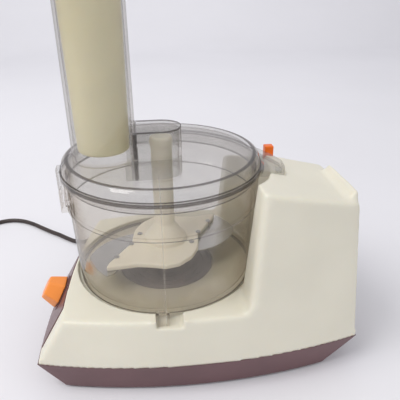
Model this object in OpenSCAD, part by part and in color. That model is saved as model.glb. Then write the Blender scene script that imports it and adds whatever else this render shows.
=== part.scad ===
// Food processor: a bowl and lid on a low base, driven by a belt from a motor in the tower beside it.
// Millimetres, +Z up. The origin is the middle of the base's outline, on the surface that it stands on.
// +X runs towards the tower, -Y is the front.

/* [Base] */
// Length of the base at the parting line
base_l = 312; // [290:1:375]
// Depth of the base at the middle of the parting line
base_d = 222; // [214:1:268]
// Height of the parting line between the tray and the housing
split_z = 35; // [29:1:38]
// Height of the deck beside the bowl
deck_z = 85; // [80:1:92]
// Radius of the bow of the front and back faces
bow_r = 618; // [450:1:900]
// Radius of the bow of the left-hand end
left_bow_r = 680; // [500:10:3000]
// Radius of the bow of the right-hand end
right_bow_r = 1100; // [600:10:3000]
// Y of the widest point of the two ends
end_bow_y = -65; // [-80:5:0]
// Lean of the front and back faces, degrees
face_lean = 4.5; // [2:0.5:7]
// Lean of the right-hand end, degrees
end_lean = 5; // [2:0.5:8]
// Slope of the control panel at the left-hand end, degrees from upright
panel_slope = 30; // [20:1:35]
// Wall of the housing and the tray
wall = 3; // [2:0.25:3.5]
// Height of a foot under the tray
foot_h = 3; // [2:0.5:6]
// Radius of a foot
foot_r = 8; // [6:0.5:10]
// How far the tray draws in at the front and back, from parting line to floor
tray_in_face = 7.5; // [4:0.5:12]
// How far the tray draws in at the left-hand end
tray_in_left = 22; // [10:1:30]
// How far the tray draws in at the right-hand end
tray_in_right = 32; // [15:1:38]

/* [Tower] */
// X of the tower's left wall at the deck, in front of the bowl's hollow
tower_x = 42; // [38:1:48]
// Lean of that wall, degrees
tower_lean = 4.5; // [2:0.5:6]
// Height of the tower's top at that wall
tower_z = 202.5; // [196:0.5:215]
// Fall of the tower's top towards the right, degrees
top_slope = 13; // [8:0.5:16]
// Fall of the tower's top towards the back, behind the ridge, degrees
back_slope = 24; // [18:1:30]
// Y of the ridge where the top turns down
ridge_y = 10; // [0:1:20]
// Radius of the tower's front and back corners beside the bowl
corner_r = 8; // [5:1:12]
// Radius of the fillet where the tower meets the deck
fillet_r = 7; // [4:1:12]
// Height of the lip along the tower's right-hand top edge
lip_h = 11.5; // [5:0.5:13]
// Radius of the hollow in the tower around the bowl, at the deck
hollow_r = 98; // [96:0.5:100]
// Lean of the hollow's wall, degrees
hollow_lean = 4.7; // [3:0.1:6]
// Front end of the lip along the right-hand top edge
lip_front_y = -78; // [-84:1:-60]
// Back end of that lip
lip_back_y = -10; // [-30:1:0]

/* [Bowl] */
// X of the bowl's axis
bowl_x = -28; // [-32:1:-24]
// Outer radius of the bowl at the deck
bowl_low_r = 90.5; // [86:0.5:92]
// Outer radius of the bowl's wall under the upper band
bowl_mid_r = 93; // [89:0.5:94]
// Outer radius of the upper band
band_r = 95.5; // [95:0.25:96]
// Outer radius of the rim and of the lid's flange
rim_r = 97.6; // [96.5:0.1:99]
// Height of the step under the upper band
band_z = 160; // [145:1:172]
// Height of the bowl's rim
rim_z = 195; // [190:1:200]
// Wall of the bowl
bowl_wall = 2.5; // [1.5:0.1:3]
// Depth of the seat for the bowl in the deck
seat_depth = 5; // [3:0.5:8]
// Radius of the tube in the middle of the bowl
chimney_r = 10.5; // [10:0.25:12]
// Width of the locking lug at the front of the bowl
lug_w = 12; // [9:0.5:15]
// Width of the notch in the deck for that lug
notch_w = 24.4; // [20:0.2:28]
// Depth of that notch
notch_depth = 7.5; // [6:0.5:12]
// Distance of the notch's middle from the bowl's axis
notch_off = -2.3; // [-4:0.1:4]

/* [Lid] */
// Height of the lid's flat top
lid_z = 208; // [204:1:212]
// Radius of the flat top
lid_flat_r = 90; // [84:0.5:91]
// Depth that the lid's ring reaches into the bowl
ring_depth = 9.4; // [6:0.2:14]
// Outer radius of the feed tube
tube_r = 30.5; // [27:0.25:33]
// Distance of the feed tube's axis from the bowl's axis
tube_off = 54.5; // [52:0.5:60]
// Height of the feed tube's top
tube_top_z = 360; // [300:1:380]
// Wall of the lid, its tube and its dome
lid_wall = 2.5; // [1.8:0.1:3]
// Outer radius of the dome over the spindle
dome_r = 20; // [17:0.5:22]
// Height of the dome's top
dome_z = 233; // [230:1:242]

/* [Pusher] */
// Radius of the pusher at its foot
pusher_low_r = 24.5; // [20:0.5:26]
// Radius of the pusher under its flange
pusher_top_r = 27; // [24:0.5:27.5]
// Height of the pusher's foot above the lid's flat top
pusher_gap = 4; // [1:0.5:20]
// Height of the grip above the flange
grip_h = 8; // [4:0.5:14]

/* [Blade tool] */
// Radius of the tool's stem
stem_r = 10.4; // [9.6:0.1:11]
// Radius of the tool's skirt where it meets the plate
skirt_r = 21; // [18:0.5:24]
// Height of the underside of the tool's plate
plate_z = 104; // [98:0.5:112]
// Thickness of the tool's plate
plate_t = 5; // [3:0.5:7]
// Thickness of a blade
blade_t = 1.2; // [0.8:0.1:2]

/* [Drive] */
// X of the motor's axis
motor_x = 108; // [106:0.5:112]
// Radius of the motor's shaft and of the spindle
shaft_r = 4; // [3:0.25:5]
// Radius of the drive head over the spindle
head_r = 7.2; // [6.2:0.1:7.6]
// Radius of the driven pulley at the belt
driven_r = 44; // [36:1:46]
// Radius of the motor's pulley at the belt
driver_r = 9; // [7:0.5:10]
// Thickness of the belt
belt_t = 2; // [1.5:0.1:3]
// Width of the belt
belt_w = 10; // [6:0.5:11]
// Height of the stack of stator laminations
stack_h = 42; // [30:1:44]
// Radius of the rotor
rotor_r = 19; // [15:0.5:19]
// Air gap between rotor and stator
air_gap = 0.8; // [0.5:0.1:1.2]

/* [Controls] */
// Y of the control knob's axis
knob_y = -25; // [-40:1:0]
// Height of the control knob's axis where it meets the panel
knob_z = 66; // [62:0.5:67]
// Corner radius of the control knob at its foot
knob_foot_r = 17.5; // [15:0.5:22]
// Corner radius of the control knob at its top
knob_top_r = 11.5; // [8:0.5:14]
// Height of the control knob
knob_h = 16.5; // [12:0.5:22]
// Width of the release button along X
button_w = 9.2; // [8:0.2:11]
// Depth of the release button along Y
button_d = 9; // [7:0.5:11]
// How far the release button stands out of the tower
button_h = 10; // [7:0.5:12]

/* [Cord] */
// Diameter of the mains cord
cord_d = 6; // [5:0.1:7]
// Turns of the wound part of the cord, side by side
coil_across = 2; // [2:1:2]
// Layers of the wound part of the cord
coil_layers = 3; // [2:1:4]
// Mean diameter of the wound part, in cord diameters
coil_ratio = 11; // [10:0.5:12]

/* [Hidden] */

// Colours
cream = [0.90, 0.88, 0.80];
brown = [0.27, 0.16, 0.16];
orange = [0.90, 0.40, 0.10];
smoke = [0.62, 0.58, 0.54, 0.45];
steel = [0.72, 0.73, 0.74];
black = [0.08, 0.08, 0.08];
copper = [0.72, 0.42, 0.22];
bronze = [0.66, 0.50, 0.28];
cord_brown = [0.16, 0.10, 0.08];

// Fineness of true circles, and of circles inside a hull
$fn = 96;
big_fn = 256;
hull_fn = 32;

// Clearances: a moving fit, a loose piece, a shaft in its bush, and a cut past a face
gap = 0.3;
loose = 0.6;
run = 0.05;
eps = 0.5;
far = 400;

// Faces of the base
face_t = tan(face_lean);
end_t = tan(end_lean);
panel_t = tan(panel_slope);
top_t = tan(top_slope);
back_t = tan(back_slope);
tower_t = tan(tower_lean);
hollow_t = tan(hollow_lean);
tool_h = 150;
half_l = base_l / 2;
half_d = base_d / 2;
floor_z = foot_h + wall;
function bow_in(along, r) = r - sqrt(r * r - along * along);
function front_y(x, z) = -half_d + bow_in(x, bow_r) + face_t * (z - split_z);
function panel_x(z, y) = -half_l + bow_in(y - end_bow_y, left_bow_r) + panel_t * (z - split_z);
function right_x(z) = half_l - end_t * (z - split_z);
function top_z(x, y = 0) = tower_z - top_t * (x - tower_x) - back_t * max(0, y - ridge_y);

// Seat of the bowl in the deck
seat_z = deck_z - seat_depth;
seat_r = bowl_low_r + 3;
well_r = 50;
well_depth = 4;
well_z = seat_z - well_depth;
hub_hole_r = 17.2;
notch_z = deck_z - notch_depth;
notch_x = bowl_x + notch_off;
lug_h = notch_depth + 4;

// Bowl and lid
bowl_z = seat_z + gap;
bowl_floor = 3;
chimney_top_z = 118;
chimney_wall = 2;
rim_flange = 3.5;
band_in_r = band_r - bowl_wall;
ring_r = band_in_r - loose;
flange_z = rim_z + 0.2;
flange_t = 2.8;
skirt_r_lid = lid_flat_r + 6.4;
ear_a = 184;
ear_w = 13;
ear_r = 101;
lid_ear_h = 17;
bowl_ear_low_z = rim_z - 42;
bowl_ear_h = 23;
tube_x = bowl_x - tube_off;
tube_in_r = tube_r - lid_wall;
dome_in_r = dome_r - lid_wall;
pusher_low_z = lid_z + pusher_gap;
ring_z = flange_z - ring_depth;
tongue_t = 3;
tongue_skirt = 4;
tongue = [[-10, -39], [57, -39], [59, -32], [60, -16], [55, -2], [48.5, 13], [43, 23], [-10, 23]];
tongue_x = bowl_x + 56;

// Recess in the tower's top under the lid's tongue
recess_z = flange_z - tongue_skirt - 2;
recess_gap = 1.5;

// Interlock under the tongue
plunger_x = tongue_x + 55.5;
plunger_y = -24;
plunger_r = 2.5;
plunger_travel = 3;
plunger_top_z = recess_z + 1.2;
plunger_len = 16;
plunger_low_z = plunger_top_z - plunger_len;
plunger_tip = 5;
post_r = 3;
post_z = plunger_top_z + gap;
microswitch_size = [12, 20, 10];
microswitch_top_z = plunger_low_z - plunger_tip - plunger_travel - gap;
microswitch_x = plunger_x - 4;

// Release button behind the ridge
button_x = 83.5;
button_y = ridge_y + 2.5;
button_top_z = top_z(button_x, button_y) + button_h;
button_under = 8;
button_low_z = button_top_z - button_h - button_under;
button_lip = 1.5;
button_spring_h = 11.5;
button_well_z = button_low_z - button_lip - button_spring_h;
well_wall = 2;

// Motor stack heights
pulley_z = 46;
pulley_h = belt_w + 2;
bracket_low_z = 61;
bracket_t = 3;
boss_r = 11;
fan_z = 73;
fan_h = 9;
stack_z = 94;
stack_top = stack_z + stack_h;
winding_h = 7;
comm_z = stack_top + winding_h + 4;
comm_h = 11;
comm_r = 11;
bracket_up_z = comm_z + comm_h + 3;
bush_h = 8;
bush_r = 8;
stator_w = 57;
stator_d = 70;
leg_w = 8;
leg_y = stator_d / 2 - leg_w / 2;
shaft_top_z = bracket_up_z + bracket_t + bush_h;

// Spindle heights
spindle_low_z = 42;
bearing_low_z = 60;
bearing_top_z = well_z;
bearing_r = 16;
flange_r = 28;
flange_h = 3;
bearing_screw_l = 5;
bearing_screw_a = [45:90:315];
deck_under_z = well_z - wall;
head_low_z = well_z + 4;
head_top_z = 150;
head_flat = head_r - 1.2;
socket_z = 122;
stem_top_z = dome_z - lid_wall - 7.5;

// Plate of the blade tool: one half of its outline as [angle, radius], and one half's rivets
plate_half_outline = [
    [-141, 76], [-139, 73], [-134, 65], [-124, 54.5], [-110, 50.5], [-92, 52], [-77, 50.5], [-57, 45], [-35, 39.5],
    [-18, 36], [8, 36], [22, 47], [30, 58], [35, 70], [38, 75]
];
rivet_r = 1.6;
rivet_places = [[27, -12], [36, 8], [50, 31]];

// Screws
screw_r = 1.5;
screw_head_r = 3.2;
boss_out_r = 5.5;
tray_lip = 4;
tray_screw_head_z = foot_h + 6;
tray_screw_l = split_z + 10 - tray_screw_head_z;
tray_screw_left = [half_l - 44, half_d - 49];
tray_screw_right = [half_l - 68, half_d - 21];
tray_screw_xy = [for (y = [-1, 1]) each [[-tray_screw_left[0], y * tray_screw_left[1]],
    [tray_screw_right[0], y * tray_screw_right[1]]]];
foot_xy = [half_l - 54, half_d - 34];
foot_in = 1.5;
ledge_y = 37;
bracket_bolt_y = 42;
bracket_bolt_l = 12;

// Cover over the motor in the back wall
cover_x = motor_x - 4;
cover_z = 92;
cover_w = 56;
cover_h = 62;
cover_rim = 4;
cover_t = 1.5;
cover_screw_z = cover_h / 2 + 8;
cover_screw_wall = 7;
slot_h = 2.6;
slot_pitch = 6;

// Control panel frame: local +Z is the panel's outward normal, local +X runs up the panel
plate_up = 19.2;
plate_down = 33;
plate_y = [-72, 66];
plate_deep = 2;
plate_proud = 0.6;
dial_h = 1.9;
dial_low = -0.6;
knob_pin_r = 3;

// Cord: where it leaves the base, its hand-chosen route to the coil, and the coil
gland_x = -110;
gland_z = 47;
gland_y = -front_y(gland_x, gland_z);
gland_turn = -asin(gland_x / bow_r);
gland_l = 27;
function gland_point(out) = [gland_x - out * sin(gland_turn), gland_y + out * cos(gland_turn), gland_z];
cord_z = cord_d / 2 + 0.1;
cord_route = [
    gland_point(-6), gland_point(10), gland_point(gland_l), [-117, 138, 44], [-120, 148, 38], [-124, 157, 29],
    [-130, 165, 18.5], [-139, 173, 9], [-150, 180, cord_z + 1.4], [-161, 187, cord_z],
    [-172, 196, cord_z], [-184, 207, cord_z], [-199, 219, cord_z], [-216, 234, cord_z],
    [-233, 249, cord_z], [-250, 260, cord_z], [-268, 265, cord_z], [-285, 262, cord_z],
    [-298, 254, cord_z], [-306, 242, cord_z], [-309, 228, cord_z]
];
coil_mean_r = coil_ratio * cord_d / 2;
coil_c = [-345, 226];
coil_half = coil_across * cord_d / 2;
coil_h = coil_layers * cord_d;
plug_l = 26;
plug_w = 22;
plug_c = [-364, 159];
plug_z = cord_z + 5.4;
blade_pitch = 12.7;
tail_z = coil_h - cord_d / 2;
tail_route = [
    [-309, 226, tail_z], [-309, 212, tail_z], [-309, 200, tail_z - 2], [-310, 189, plug_z + 3],
    [-313, 179, plug_z + 1.5], [-319, 170, plug_z + 0.5], [-327, 164, plug_z], [-337, 160, plug_z],
    [-348, 159, plug_z]
];
gland_neck_r = 5.5;
lead_r = 2.3;

// ---- Shared shapes ----

// A block with bowed faces: insets of the faces, the left end and the right end at its foot and its top
module bowed_block(z0, z1, face_in, left_in, right_in) {
    h = z1 - z0;
    intersection() {
        translate([0, bow_r - half_d, z0])
            cylinder(h = h, r1 = bow_r - face_in[0], r2 = bow_r - face_in[1], $fn = big_fn);
        translate([0, half_d - bow_r, z0])
            cylinder(h = h, r1 = bow_r - face_in[0], r2 = bow_r - face_in[1], $fn = big_fn);
        translate([left_bow_r - half_l, end_bow_y, z0])
            cylinder(h = h, r1 = left_bow_r - left_in[0], r2 = left_bow_r - left_in[1], $fn = big_fn);
        translate([half_l - right_bow_r, end_bow_y, z0])
            cylinder(h = h, r1 = right_bow_r - right_in[0], r2 = right_bow_r - right_in[1], $fn = big_fn);
    }
}

// The housing's outer faces from z0 to z1, moved inwards by t
module housing_block(z0, z1, t = 0) {
    low = z0 - split_z;
    high = z1 - split_z;
    face = t / cos(face_lean);
    panel = t / cos(panel_slope);
    right = t / cos(end_lean);
    bowed_block(z0, z1, [face_t * low + face, face_t * high + face],
        [panel_t * low + panel, panel_t * high + panel], [end_t * low + right, end_t * high + right]);
}

// The tray's outer faces, moved inwards by t
module tray_block(z0, z1, t = 0) {
    run_h = split_z - foot_h;
    low = (split_z - z0) / run_h;
    high = (split_z - z1) / run_h;
    bowed_block(z0, z1, [tray_in_face * low + t, tray_in_face * high + t],
        [tray_in_left * low + t * 1.2, tray_in_left * high + t * 1.2],
        [tray_in_right * low + t * 1.4, tray_in_right * high + t * 1.4]);
}

// Everything above the tower's two sloping top faces, which lie t lower
module above_top(t = 0) {
    translate([tower_x, ridge_y, tower_z - t]) rotate([0, top_slope, 0]) {
        translate([-far / 2, -far, 0]) cube([far, 2 * far, far]);
        rotate([-atan(back_t * cos(top_slope)), 0, 0]) translate([-far / 2, -far, 0]) cube([far, 2 * far, far]);
    }
}

// Everything beside the tower that the bowl and its hollow need, grown by t, with a fillet at the deck
module beside_tower(z0, t = 0, fillet = 0) {
    x0 = tower_x + t + tower_t * (z0 - deck_z);
    r0 = hollow_r + t + hollow_t * (z0 - deck_z);
    rotate([90, 0, 0]) linear_extrude(far, center = true) difference() {
        polygon([[x0 - far, z0], [x0, z0], [x0 + tower_t * tool_h, z0 + tool_h], [x0 - far, z0 + tool_h]]);
        if (fillet > 0) difference() {
            translate([x0 - fillet, z0 - eps]) square([fillet + eps, fillet + eps]);
            translate([x0 + fillet * (tower_t - 1 / cos(tower_lean)), z0 + fillet]) circle(r = fillet);
        }
    }
    translate([bowl_x, 0, z0]) cylinder(h = tool_h, r1 = r0, r2 = r0 + hollow_t * tool_h, $fn = big_fn);
}

module at_bowl(z = 0) translate([bowl_x, 0, z]) children();
module at_motor(z = 0) translate([motor_x, 0, z]) children();

module ring(h, r_out, r_in) difference() {
    cylinder(h = h, r = r_out);
    translate([0, 0, -eps]) cylinder(h = h + 2 * eps, r = r_in);
}

module on_panel(y = knob_y, z = knob_z)
    translate([panel_x(z, y), y, z]) rotate([0, panel_slope - 90, 0]) children();

// A round-headed screw that points up from the origin
module screw(length, head_h = 2.4) {
    cylinder(h = length, r = screw_r);
    translate([0, 0, -head_h]) cylinder(h = head_h, r = screw_head_r);
}

// A round tube swept along a list of points
function unit(v) = v / norm(v);
function along(p, i) = unit(i == 0 ? p[1] - p[0] : i == len(p) - 1 ? p[i] - p[i - 1] : p[i + 1] - p[i - 1]);
function sweep_ring(p, i, r, n) = let(d = along(p, i), s = unit(cross(d, [0, 0, 1] + [0.02, 0.01, 0])),
    u = cross(s, d)) [for (k = [0:n - 1]) p[i] + r * (cos(360 * k / n) * s + sin(360 * k / n) * u)];
module sweep(p, r, n) {
    rings = [for (i = [0:len(p) - 1]) each sweep_ring(p, i, r, n)];
    sides = [for (i = [0:len(p) - 2]) for (k = [0:n - 1])
        [i * n + k, i * n + (k + 1) % n, (i + 1) * n + (k + 1) % n, (i + 1) * n + k]];
    ends = [[for (k = [n - 1:-1:0]) k], [for (k = [0:n - 1]) (len(p) - 1) * n + k]];
    polyhedron(points = rings, faces = concat(sides, ends), convexity = 6);
}

// ---- Base ----

// What the rounding takes off the tower's corner beside the bowl, at the front
module tower_corner() {
    y = front_y(tower_x + corner_r, deck_z) + corner_r / cos(face_lean);
    translate([tower_x + corner_r, y, deck_z]) rotate([-face_lean, tower_lean, 0]) difference() {
        translate([-corner_r - 2, -corner_r - 8, fillet_r]) cube([corner_r + 2, corner_r + 8, far]);
        cylinder(h = 2 * far, r = corner_r);
    }
}

// The lip along the tower's right-hand top edge, which the sloping cut leaves standing
module lip_prism() translate([0, lip_back_y, 0]) rotate([90, 0, 0]) linear_extrude(lip_back_y - lip_front_y) {
    crest = top_z(half_l - 10) + lip_h;
    x = right_x(crest);
    polygon([[x - 20, top_z(x - 20) - wall], [x - 12, top_z(x - 12)], [x - 8, top_z(x - 8) + 2],
        [x - 5, crest - 3], [x - 3, crest], [x + 20, crest], [x + 20, top_z(x) - 20]]);
}

module housing_outer() difference() {
    housing_block(split_z, tower_z + 20);
    difference() {
        above_top();
        lip_prism();
    }
    beside_tower(deck_z, 0, fillet_r);
    tower_corner();
    mirror([0, 1, 0]) tower_corner();
}

module seat_pan() {
    at_bowl(seat_z - wall) cylinder(h = deck_z - seat_z + wall, r = seat_r + wall);
    at_bowl(deck_under_z) cylinder(h = seat_z - deck_under_z, r = well_r + wall);
    translate([notch_x - notch_w / 2 - wall, -half_d, notch_z - wall])
        cube([notch_w + 2 * wall, half_d - seat_r + 12, notch_depth + wall]);
}

module housing_hollow() difference() {
    housing_block(split_z - eps, tower_z, wall);
    above_top(wall);
    beside_tower(deck_z - wall, wall);
    seat_pan();
    for (p = tray_screw_xy) translate([p[0], p[1], split_z - 2]) housing_boss(p);
    cover_bosses();
    button_well(well_wall, button_well_z - well_wall);
    translate([microswitch_x + microswitch_size[0], plunger_y - microswitch_size[1] / 2,
        microswitch_top_z - microswitch_size[2]]) cube([well_wall, microswitch_size[1], 40]);
    for (side = [0, 1]) mirror([0, side, 0])
        translate([motor_x - 5, ledge_y, bracket_low_z - 12]) cube([10, half_d, 12]);
    recess_walls();
}

// A post for a tray screw, joined to the deck on the left and to the front or back wall in the tower
module housing_boss(p) {
    h = (p[0] < 0 ? deck_z : 70) - split_z;
    cylinder(h = h, r = boss_out_r);
    if (p[0] > 0) translate([-2, p[1] > 0 ? 0 : -20, tray_lip + 2 + gap]) cube([4, 20, h - tray_lip - 2 - gap]);
}

module bowl_seat_cut() {
    at_bowl(seat_z) cylinder(h = far, r = seat_r, $fn = big_fn);
    at_bowl(well_z) cylinder(h = far, r = well_r);
    at_bowl(deck_under_z - eps) cylinder(h = far, r = hub_hole_r);
    translate([notch_x - notch_w / 2, -half_d - eps, notch_z]) cube([notch_w, half_d - seat_r + 12, far]);
}

module tongue_shape(t = 0) {
    b = t;
    polygon([for (i = [0:len(tongue) - 1]) let(p = tongue[i])
        [p[0] + (p[0] > 0 ? b : 0), p[1] + (p[1] < -30 ? -b : p[1] > 10 ? b : 0)]]);
}

module recess_cut() {
    translate([tongue_x, 0, recess_z]) linear_extrude(far) tongue_shape(recess_gap);
    translate([plunger_x, plunger_y, recess_z - 12]) cylinder(h = far, r = plunger_r + gap);
}

module recess_walls()
    translate([tongue_x, 0, recess_z - wall]) linear_extrude(far) tongue_shape(recess_gap + wall);

module button_hole()
    translate([button_x - button_w / 2 - gap, button_y - gap, button_low_z - 1])
        cube([button_w + 2 * gap, button_d + 2 * gap, far]);

// The well under the release button, which holds its spring: t outside the well's inner faces
module button_well(t, low) {
    w = button_w + 2 * (button_lip + loose + t);
    d = button_d + 2 * (button_lip + loose + t);
    translate([button_x - w / 2, button_y + button_d / 2 - d / 2, low]) cube([w, d, button_low_z + 1 + t - low]);
}

module cover_window(t = 0, tall = 0)
    translate([cover_x - cover_w / 2 - t, half_d - 40, cover_z - cover_h / 2 - t - tall])
        cube([cover_w + 2 * t, 60, cover_h + 2 * (t + tall)]);

module at_cover_screws() for (side = [-1, 1]) {
    z = cover_z + side * cover_screw_z;
    translate([cover_x, -front_y(cover_x, z), z]) rotate([90, 0, -asin(cover_x / bow_r)]) children();
}

module cover_bosses() at_cover_screws() cylinder(h = cover_screw_wall + wall, r = 5);

module knob_hole() on_panel() translate([0, 0, -20]) cylinder(h = 40, r = knob_pin_r + loose);

// A layer of the panel between two depths under its face, over the control plate's outline grown by t
module panel_layer(high, low, t = 0) intersection() {
    difference() {
        housing_block(split_z + 1, deck_z + 12, -high);
        housing_block(split_z, deck_z + 13, low);
    }
    translate([panel_x(knob_z, knob_y), 0, knob_z]) rotate([0, panel_slope - 90, 0])
        translate([-plate_down - t, plate_y[0] - t, -20])
        cube([plate_up + plate_down + 2 * t, plate_y[1] - plate_y[0] + 2 * t, 40]);
}

module housing() color(cream) difference() {
    housing_outer();
    housing_hollow();
    bowl_seat_cut();
    for (a = bearing_screw_a) at_bowl(deck_under_z - eps) rotate([0, 0, a])
        translate([flange_r - 5, 0, 0]) cylinder(h = bearing_screw_l - flange_h + eps, r = screw_r);
    for (y = [-1, 1]) at_motor(bracket_low_z + bracket_t - bracket_bolt_l)
        translate([0, y * bracket_bolt_y, 0]) cylinder(h = bracket_bolt_l, r = screw_r);
    recess_cut();
    button_hole();
    button_well(0, button_well_z);
    cover_window(loose);
    at_cover_screws() translate([0, 0, -eps]) cylinder(h = cover_screw_wall + 1, r = screw_r);
    for (p = tray_screw_xy) translate([p[0], p[1], split_z - 3]) cylinder(h = 20, r = screw_r);
    panel_layer(10, plate_deep, gap);
    knob_hole();
    translate(gland_point(-8)) rotate([-90, 0, gland_turn]) cylinder(h = 20, r = gland_neck_r);
}

module bottom_tray() color(brown) difference() {
    union() {
        difference() {
            tray_block(foot_h, split_z);
            tray_block(floor_z, split_z + eps, wall);
        }
        difference() {
            housing_block(split_z - tray_lip, split_z + tray_lip, wall + gap);
            housing_block(split_z - tray_lip - 1, split_z + tray_lip + 1, wall + gap + 1.5);
        }
        for (p = tray_screw_xy) translate([p[0], p[1], foot_h])
            cylinder(h = split_z - 2 - foot_h, r = boss_out_r);
    }
    for (p = tray_screw_xy) translate([p[0], p[1], 0]) {
        cylinder(h = far, r = screw_r);
        cylinder(h = tray_screw_head_z, r = screw_head_r + gap);
    }
    for (x = [-1, 1], y = [-1, 1]) translate([x * foot_xy[0], y * foot_xy[1], 0])
        cylinder(h = foot_h + foot_in, r = foot_r);
    for (i = [-3:3]) translate([bowl_x + 14 * i - 2, -30, 0]) cube([4, 60, 20]);
}

module foot(x, y) color(black) translate([x * foot_xy[0], y * foot_xy[1], 0]) rotate_extrude()
    polygon([[0, 0], [foot_r - 1.5, 0], [foot_r - 0.6, 0.6], [foot_r, foot_h - 0.5], [foot_r, foot_h + foot_in],
        [0, foot_h + foot_in]]);

module tray_screws() color(steel)
    for (p = tray_screw_xy) translate([p[0], p[1], tray_screw_head_z]) screw(tray_screw_l);

// Vented cover over the motor: a plate on the back wall with a plug that fills the window
module rear_cover() color(cream) difference() {
    union() {
        intersection() {
            difference() {
                housing_block(split_z + 1, tower_z - 20, -cover_t);
                housing_block(split_z, tower_z - 19);
            }
            cover_window(cover_rim, cover_screw_z - cover_h / 2 + 1);
        }
        intersection() {
            difference() {
                housing_block(split_z + 5, tower_z - 24, -cover_t / 2);
                housing_block(split_z + 4, tower_z - 23, wall);
            }
            cover_window();
        }
    }
    for (i = [-4:4])
        translate([cover_x - cover_w / 2 + 7, half_d - 45, cover_z + i * slot_pitch - slot_h / 2])
            cube([cover_w - 14, 60, slot_h]);
    at_cover_screws() translate([0, 0, -5]) cylinder(h = 10, r = screw_r + 0.2);
}

module rear_cover_screws() color(steel)
    at_cover_screws() translate([0, 0, -cover_t - 0.2]) screw(cover_screw_wall, 1.8);

module hub_ring() color([0.22, 0.22, 0.27]) at_bowl(well_z) difference() {
    union() {
        cylinder(h = well_depth - 1.2, r = well_r - gap);
        for (i = [0:4]) translate([0, 0, well_depth - 1.7]) ring(1.2, 20 + 6.6 * i + 2.6, 20 + 6.6 * i);
    }
    translate([0, 0, -eps]) cylinder(h = 10, r = 14.5);
}

// ---- Controls ----

// Plate let into the panel, with a flat round dial for the knob to turn on
module control_plate() color(brown) difference() {
    union() {
        panel_layer(plate_proud, plate_deep);
        on_panel() translate([0, 0, dial_low]) cylinder(h = dial_h - dial_low, r = knob_foot_r + 1);
    }
    on_panel() translate([0, 0, -10]) cylinder(h = 20, r = knob_pin_r + gap);
}

module control_knob() color(orange) on_panel() translate([0, 0, dial_h + gap]) {
    rotate([0, 0, 30]) cylinder(h = knob_h, r1 = knob_foot_r, r2 = knob_top_r, $fn = 6);
    translate([0, 0, -18]) cylinder(h = 18 + eps, r = knob_pin_r);
}

module switch_body() color([0.75, 0.72, 0.65]) on_panel() difference() {
    translate([-22, -18, -23]) cube([30, 36, 18.6]);
    translate([0, 0, -18.5]) cylinder(h = 20, r = knob_pin_r + gap);
}

module release_button() color(orange) translate([button_x, button_y + button_d / 2, 0]) {
    translate([-button_w / 2, -button_d / 2, button_low_z]) cube([button_w, button_d, button_h + button_under]);
    translate([-button_w / 2 - button_lip, -button_d / 2 - button_lip, button_low_z - button_lip])
        cube([button_w + 2 * button_lip, button_d + 2 * button_lip, button_lip]);
}

module coil_spring(r, wire, low, high, turns) {
    for (i = [0:turns - 1]) translate([0, 0, low + wire + (high - low - 2 * wire) * i / (turns - 1)])
        rotate_extrude($fn = 24) translate([r, 0]) circle(r = wire, $fn = 8);
    for (k = [0:1]) translate([k == 0 ? r : -r, 0, low + wire]) cylinder(h = high - low - 2 * wire, r = wire * 0.7);
}

module button_spring() color(steel) translate([button_x, button_y + button_d / 2, 0])
    coil_spring(3.5, 0.5, button_well_z, button_low_z - button_lip, 6);

module at_plunger(z) translate([plunger_x, plunger_y, z]) children();

module switch_plunger() color(cream) {
    at_plunger(plunger_low_z) cylinder(h = plunger_len, r = plunger_r);
    at_plunger(plunger_low_z) cylinder(h = 1.5, r = plunger_r + 2);
    at_plunger(plunger_low_z - plunger_tip) cylinder(h = plunger_tip + eps, r = plunger_r - 1);
}

module plunger_spring() color(steel)
    at_plunger(0) coil_spring(plunger_r + 0.7, 0.4, microswitch_top_z, plunger_low_z, 5);

module microswitch() color(black)
    translate([microswitch_x, plunger_y - microswitch_size[1] / 2, microswitch_top_z - microswitch_size[2]])
        cube(microswitch_size);

// ---- Motor ----

module motor_stator() color([0.45, 0.46, 0.48]) at_motor(stack_z) difference() {
    intersection() {
        translate([-stator_w / 2, -stator_d / 2, 0]) cube([stator_w, stator_d, stack_h]);
        cylinder(h = stack_h, r = 41);
    }
    translate([0, 0, -eps]) cylinder(h = far, r = rotor_r + air_gap);
    for (side = [-1, 1]) field_slots(side, loose / 2);
}

// The two slots beside one pole, which its coil passes through
module field_slots(side, t) for (x = [-1, 1])
    translate([x * 19 - 4 - t, side * 20 - 5 - t, -eps]) cube([8 + 2 * t, 10 + 2 * t, far]);

module field_coil(side) color(copper) at_motor(stack_z - 8) {
    for (x = [-1, 1]) translate([x * 19 - 4, side * 20 - 5, 0]) cube([8, 10, stack_h + 16]);
    for (z = [0, stack_h + 9]) translate([-23, side * 20 - 5, z]) cube([46, 10, 7]);
}

module bracket_lower() color([0.66, 0.67, 0.68]) at_motor(bracket_low_z) difference() {
    union() {
        translate([-8, -46, 0]) cube([16, 92, bracket_t]);
        for (y = [-1, 1]) translate([-leg_w / 2, y * leg_y - leg_w / 2, 0])
            cube([leg_w, leg_w, stack_z - bracket_low_z]);
        cylinder(h = bush_h + 1, r = boss_r);
    }
    translate([0, 0, -eps]) cylinder(h = far, r = bush_r);
    for (y = [-1, 1]) translate([0, y * bracket_bolt_y, -eps]) cylinder(h = 10, r = screw_r);
}

module bracket_upper() color([0.66, 0.67, 0.68]) at_motor(stack_top) difference() {
    union() {
        translate([-8, -stator_d / 2, bracket_up_z - stack_top]) cube([16, stator_d, bracket_t]);
        for (y = [-1, 1]) translate([-leg_w / 2, y * leg_y - leg_w / 2, 0])
            cube([leg_w, leg_w, bracket_up_z - stack_top + bracket_t]);
        translate([0, 0, bracket_up_z - stack_top]) cylinder(h = bush_h + 1, r = boss_r);
    }
    translate([0, 0, bracket_up_z - stack_top - eps]) cylinder(h = far, r = bush_r);
}

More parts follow.
